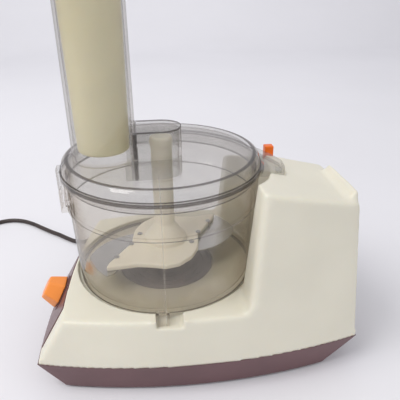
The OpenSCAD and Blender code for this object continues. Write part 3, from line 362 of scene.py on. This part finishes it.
def clear(name, tints, haze, body, corners):
    """A thin clear plastic wall.

    What is behind shows unbent, tinted more where the wall is seen edge on, and darker at its
    corners, partly for the thicker plastic and partly as painted shade; haze is the share of the
    wall's own colour.
    """
    mat, tree, out = new_material(name)
    weight = tree.nodes.new("ShaderNodeLayerWeight")
    weight.inputs["Blend"].default_value = FACING_BLEND
    facing = weight.outputs["Facing"]
    ramp = tree.nodes.new("ShaderNodeValToRGB")
    elements = ramp.color_ramp.elements
    elements[0].position, elements[0].color = tints[0][0], (*tints[0][1], 1)
    elements[1].position, elements[1].color = tints[-1][0], (*tints[-1][1], 1)
    for at, colour in tints[1:-1]:
        elements.new(at).color = (*colour, 1)
    tree.links.new(facing, ramp.inputs["Fac"])
    place = axis_place(tree)
    # the corners' darker tint: partly the thicker plastic, partly painted shade
    corner_shade = arithmetic(tree, "MULTIPLY", corner_tint_and_shade(tree, place, corners), CORNER_SHADE_SHARE)
    through = tree.nodes.new("ShaderNodeBsdfTransparent")
    tint = mixed(tree, corner_shade, ramp.outputs["Color"], CORNER_TINT_AND_SHADE)
    tree.links.new(tint, through.inputs["Color"])
    p = tree.nodes.new("ShaderNodeBsdfPrincipled")
    p.inputs["Roughness"].default_value = HAZE_ROUGH
    drift = ranged(tree, noise(tree, 18, 3), 0, 1)
    duller = tuple(c * HAZE_DRIFT for c in body)
    tree.links.new(mixed(tree, drift, duller, body), p.inputs["Base Color"])
    low, high = (haze * share for share in CLOUD_SPREAD)
    cloud = ranged(tree, noise(tree, 45, 3), low, high)
    own = arithmetic(tree, "ADD", cloud, mould_line(tree, place))
    wall = mixed_shader(tree, own, through.outputs[0], p.outputs[0])
    shine = tree.nodes.new("ShaderNodeBsdfGlossy")
    shine.inputs["Roughness"].default_value = GLOSS_ROUGH
    surface = mixed_shader(tree, fresnel(tree, facing), wall, shine.outputs[0])
    tree.links.new(surface, out.inputs["Surface"])
    return mat


# what a wall lets through, from 0, seen square on, to 1, seen edge on
SMOKE = [(0.0, (0.975, 0.970, 0.960)), (0.55, (0.955, 0.943, 0.925)),
         (0.8, (0.86, 0.825, 0.775)), (0.93, (0.52, 0.43, 0.34)), (1.0, (0.10, 0.06, 0.04))]
LID_TINT = [(0.0, (0.94, 0.94, 0.935)), (0.6, (0.915, 0.91, 0.90)),
            (0.8, (0.82, 0.80, 0.77)), (0.93, (0.55, 0.48, 0.42)), (1.0, (0.12, 0.08, 0.06))]
# darkened corners, partly thicker plastic and partly painted shade, as near() and the corner mask
# take them, in mm
BOWL_CORNERS = [
    ("axis", "z", 90.5, 80.8, 3.2),  # floor
    ("axis", "z", 97.6, 195, 1.8),  # rim
    ("axis", "z", 95.5, 160, 1.3),  # band, outside and inside
    ("axis", "z", 93, 160, 1.1),
]
LID_CORNERS = [
    ("axis", "z", 90, 208, 2.4),  # flat's edge
    ("axis", "z", 96.4, 198, 1.2),  # flange, skirt and rim
    ("axis", "z", 92.4, 185.8, 1.3),
    ("axis", "z", 97.6, 196.5, 1.1),
    ("line", "z", 20, 232.6, 1.4),  # dome's top edge
    ("x", "y", -24.5, -20, 2.4),  # its joint with the tube, front and back
    ("x", "y", -24.5, 20, 1.6),
]

MATERIALS = {
    "cream_plastic": solid("cream_moulded", (0.745, 0.715, 0.60), rough=0.36, vary=0.035,
                           bump=0.08, scatter=0.12),
    "brown_plastic": solid("brown_moulded", (0.135, 0.062, 0.068), rough=0.34, vary=0.12,
                           bump=0.12),
    "orange_plastic": solid("orange_moulded", (0.84, 0.155, 0.010), rough=0.34, vary=0.05,
                            bump=0.06, specular=0.35),
    "rubber": solid("foot_rubber", (0.035, 0.032, 0.032), rough=0.75, vary=0.2, bump=0.3),
    "screw_steel": solid("screw_steel", (0.55, 0.55, 0.54), rough=0.32, vary=0.08, metal=1.0),
    "switch_plastic": solid("switch_moulded", (0.06, 0.06, 0.062), rough=0.45, vary=0.1),
    "spring_steel": solid("spring_wire", (0.60, 0.60, 0.58), rough=0.26, vary=0.06, metal=1.0),
    "white_plastic": solid("white_moulded", (0.74, 0.74, 0.70), rough=0.4, vary=0.04),
    "black_plastic": solid("black_moulded", (0.028, 0.026, 0.025), rough=0.42, vary=0.2,
                           bump=0.2),
    "lamination": solid("laminated_iron", (0.32, 0.32, 0.33), rough=0.45, metal=0.9, vary=0.1,
                        grain=900, stretch=(0.05, 0.05, 1), bump=0.6),
    "winding": solid("copper_winding", (0.62, 0.24, 0.09), rough=0.33, metal=0.85, vary=0.12,
                     grain=1100, stretch=(0.1, 1, 1), bump=0.7),
    "zinc_bracket": solid("cast_zinc", (0.44, 0.45, 0.46), rough=0.5, metal=0.8, vary=0.08,
                          bump=0.35),
    "bronze": solid("sintered_bronze", (0.55, 0.36, 0.16), rough=0.42, metal=1.0, vary=0.1,
                    bump=0.3),
    "ground_steel": solid("ground_steel", (0.60, 0.60, 0.60), rough=0.2, metal=1.0, vary=0.04,
                          stretch=(1, 1, 0.1), bump=0.15),
    "commutator_copper": solid("bar_copper", (0.70, 0.30, 0.14), rough=0.3, metal=1.0, vary=0.1),
    "zinc_pulley": solid("turned_zinc", (0.46, 0.46, 0.47), rough=0.36, metal=0.9, vary=0.06),
    "belt_rubber": solid("belt_rubber", (0.03, 0.03, 0.03), rough=0.7, vary=0.2, bump=0.4),
    "ring_plastic": solid("ring_moulded", (0.24, 0.20, 0.21), rough=0.38, vary=0.12, bump=0.1),
    "smoke_clear": clear("smoke_bowl", SMOKE, 0.055, (0.60, 0.55, 0.47), BOWL_CORNERS),
    "pusher_plastic": solid("pusher_moulded", (0.90, 0.82, 0.54), rough=0.38, vary=0.03,
                            bump=0.05, scatter=0.15),
    "ivory_plastic": solid("ivory_moulded", (0.86, 0.80, 0.66), rough=0.36, vary=0.035,
                           bump=0.06, scatter=0.12),
    "blade_steel": solid("blade_steel", (0.50, 0.50, 0.49), rough=0.24, metal=1.0, vary=0.05,
                         grain=2500, stretch=(0.06, 1, 1), bump=0.2),
    "rivet_steel": solid("rivet_steel", (0.42, 0.41, 0.40), rough=0.3, metal=1.0, vary=0.08),
    "lead_plastic": solid("wire_jacket", (0.22, 0.12, 0.06), rough=0.5, vary=0.15),
    "cord_rubber": solid("cord_jacket", (0.040, 0.027, 0.024), rough=0.42, vary=0.25, patch=60,
                         bump=0.15),
    "plug_brass": solid("plug_brass", (0.72, 0.54, 0.24), rough=0.25, metal=1.0, vary=0.08),
}
KNOB_ORANGE = solid("orange_knob", (0.90, 0.29, 0.055), rough=0.34, vary=0.06, bump=0.06,
                    specular=0.35)
LID_SMOKE = clear("smoke_lid", LID_TINT, 0.06, (0.50, 0.50, 0.49), LID_CORNERS)


def dress(obj, mat):
    """obj wears this one material."""
    obj.data.materials.clear()
    obj.data.materials.append(mat)
    obj.data.polygons.foreach_set("material_index", [0] * len(obj.data.polygons))


# the record's slot for each CAD node is its imported material's name
SLOT = {n: o.material_slots[0].material.name.split(".")[0] for n, o in nodes.items()}
for node_name, node in nodes.items():
    dress(node, MATERIALS[SLOT[node_name]])
dress(nodes["lid"], LID_SMOKE)
dress(cord, MATERIALS["cord_rubber"])

# ---------------------------------------------------------------- rounded mouldings

RELAX_SHARE = 0.5
FINE_ROUNDS = 2  # takes the steps of the small faces out
SNAP_VOXELS = 0.8  # points this near to a flat edge are put on it
OPEN = math.inf


def remeshed(node, name, voxel):
    """A copy of a CAD node as small even faces, voxel mm in size, and its points."""
    piece = bpy.data.objects.new(name, nodes[node].data.copy())
    scene.collection.objects.link(piece)
    piece.data.materials.clear()
    mod = piece.modifiers.new("even", "REMESH")
    mod.mode, mod.voxel_size, mod.use_smooth_shade = "VOXEL", voxel * MM, True
    depsgraph = bpy.context.evaluated_depsgraph_get()
    made = bpy.data.meshes.new_from_object(piece.evaluated_get(depsgraph))
    piece.modifiers.clear()
    piece.data = made
    points = np.empty(len(made.vertices) * 3)
    made.vertices.foreach_get("co", points)
    return piece, points.reshape(-1, 3)


def relax(mesh, points, rounds, share):
    """points after some rounds of moving each by its share to the middle of its neighbours."""
    ends = np.empty(len(mesh.edges) * 2, np.int64)
    mesh.edges.foreach_get("vertices", ends)
    a, b = ends.reshape(-1, 2).T
    count = len(points)
    degree = np.maximum(np.bincount(a, minlength=count) + np.bincount(b, minlength=count), 1)
    for _ in range(rounds):
        sums = [np.bincount(a, points[b, i], count) + np.bincount(b, points[a, i], count)
                for i in range(3)]
        middle = np.stack(sums, 1) / degree[:, None]
        points = points + (middle - points) * share[:, None]
    return points


def moulded(node, name, body, voxel, rounds, sharp=None, flat_z=None):
    """A piece that stands for a CAD node, with its edges rounded as a mould rounds them.

    Points that the function sharp picks stay as they are, and an edge at the height
    flat_z stays flat.
    """
    piece, points = remeshed(node, name, voxel)
    share = np.full(len(points), RELAX_SHARE)
    points = relax(piece.data, points, FINE_ROUNDS, share)
    if sharp:
        share[sharp(points / MM)] = 0.0
    points = relax(piece.data, points, rounds, share)
    if flat_z is not None:
        edge = np.abs(points[:, 2] - flat_z * MM) < SNAP_VOXELS * voxel * MM
        points[edge, 2] = flat_z * MM
    piece.data.vertices.foreach_set("co", points.ravel())
    piece.data.polygons.foreach_set("use_smooth", [True] * len(piece.data.polygons))
    piece.data.update()
    dress(piece, MATERIALS[SLOT[node]])
    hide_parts(node)
    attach(piece, body)
    return piece


SEAT_R, SEAT_Z = 97, 60
HOUSING_SHARP = [  # boxes in mm: x, y and z, each from and to
    ((-48, -13), (-OPEN, -84), (SEAT_Z, OPEN)),  # lug notch
    ((20, 100), (-46, 32), (182, OPEN)),  # tongue's recess and button
    ((-OPEN, -114), (-77, 71), (34, OPEN)),  # control pocket
    ((-OPEN, OPEN), (-OPEN, OPEN), (-OPEN, 41)),  # seam with the tray
    ((64, 144), (90, OPEN), (42, 142)),  # rear cover
    ((-OPEN, -90), (85, OPEN), (30, 62)),  # cord's gland
]
SEAM_Z = 35


def housing_sharp(p):
    """Which of the points, in mm, are in the bowl's seat or one of the boxes."""
    sharp = (np.hypot(p[:, 0] - BOWL_X, p[:, 1]) < SEAT_R) & (p[:, 2] > SEAT_Z)
    for box in HOUSING_SHARP:
        low, high = np.array(box, float).T
        sharp |= ((p > low) & (p < high)).all(1)
    return sharp


moulded("housing", "housing_shell", "base", 1.25, 26, housing_sharp, SEAM_Z)
dress(moulded("control_knob", "knob_cap", "knob", 0.55, 14), KNOB_ORANGE)
moulded("release_button", "button_cap", "button", 0.4, 6)
moulded("tool_hub", "tool_moulding", "tool", 0.7, 2)
moulded("pusher", "pusher_moulding", "pusher", 0.8, 3)
moulded("plug_body", "plug_moulding", "base", 0.6, 6)

# ---------------------------------------------------------------- floor, light, world


def make_floor():
    """A pale sweep: a floor that curves up into a wall well behind the object."""
    front, back, bend, wall_top, side, steps = -4.0, 1.9, 0.7, 3.2, 5.0, 14
    line = [(front, 0.0), (back, 0.0)]
    line += [(back + bend * math.sin(a), bend * (1 - math.cos(a)))
             for a in (math.pi / 2 * i / steps for i in range(1, steps + 1))]
    line.append((back + bend, wall_top))
    points = [(x, y, z) for x in (-side, side) for y, z in line]
    n = len(line)
    faces = [(i, i + 1, n + i + 1, n + i) for i in range(n - 1)]
    mesh = bpy.data.meshes.new("floor")
    mesh.from_pydata(points, [], faces)
    mesh.polygons.foreach_set("use_smooth", [True] * len(faces))
    floor = bpy.data.objects.new("floor", mesh)
    scene.collection.objects.link(floor)
    dress(floor, solid("pale_board", (0.79, 0.785, 0.82), rough=0.6, vary=0.012, patch=3,
                       grain=300, bump=0.02, specular=0.25))


def area_light(name, at, size, power, colour=(1, 1, 1), towards=(0, 0, 0.1)):
    """A soft square lamp that looks at a point."""
    data = bpy.data.lights.new(name, "AREA")
    data.shape, data.size, data.energy, data.color = "SQUARE", size, power, colour
    lamp = bpy.data.objects.new(name, data)
    lamp.location = at
    lamp.rotation_euler = (Vector(towards) - Vector(at)).to_track_quat("-Z", "Y").to_euler()
    scene.collection.objects.link(lamp)


def make_world(colour, strength):
    """An even pale surround."""
    world = bpy.data.worlds.new("surround")
    world.use_nodes = True
    back = world.node_tree.nodes["Background"]
    back.inputs["Color"].default_value = (*colour, 1)
    back.inputs["Strength"].default_value = strength
    scene.world = world


make_floor()
make_world((0.975, 0.975, 1.0), 0.66)
area_light("key", (-1.2, -0.5, 1.9), 1.2, 27, (1.0, 0.985, 0.965), (-0.05, 0, 0.1))
area_light("fill", (1.5, -1.4, 1.2), 1.8, 4)
area_light("wall", (0.0, 1.3, 1.9), 1.8, 8, towards=(0, 2.6, 0.6))
scene.view_settings.view_transform = "Standard"
scene.cycles.transparent_max_bounces = 32
